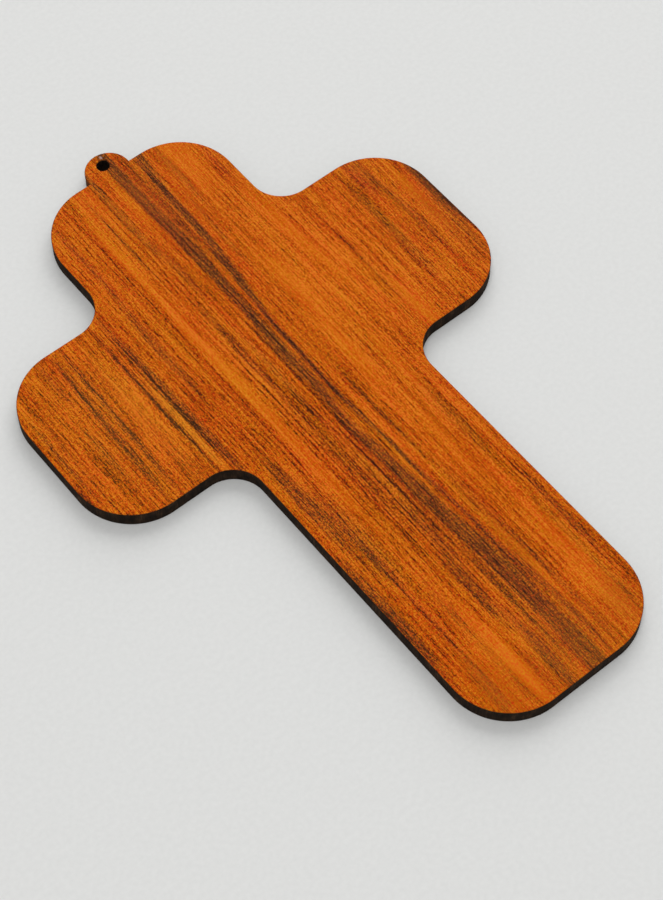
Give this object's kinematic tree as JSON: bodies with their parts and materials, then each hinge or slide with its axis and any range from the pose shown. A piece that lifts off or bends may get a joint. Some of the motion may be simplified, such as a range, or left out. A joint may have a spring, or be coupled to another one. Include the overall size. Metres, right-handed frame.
{
  "type": "prayer cross",
  "caption": "Flat Latin prayer cross cut from one thin hardwood board, with large round ends, filleted inner corners and a small round hanging tab with a hole.",
  "frame": {"origin": "on the flat back, in the middle of the outline's width and of its length with the tab, where the cross lies on a table", "axes": "+Y towards the head and its hanging tab, +X to the right of someone who looks at the face, +Z out of the face"},
  "size_m": [0.111, 0.1694, 0.004],
  "materials": {
    "hardwood_board": "satin lacquered orange-brown striped hardwood face, cut edge charred near black"
  },
  "bodies": {
    "root": {"cross": "hardwood_board"}
  },
  "joints": []
}
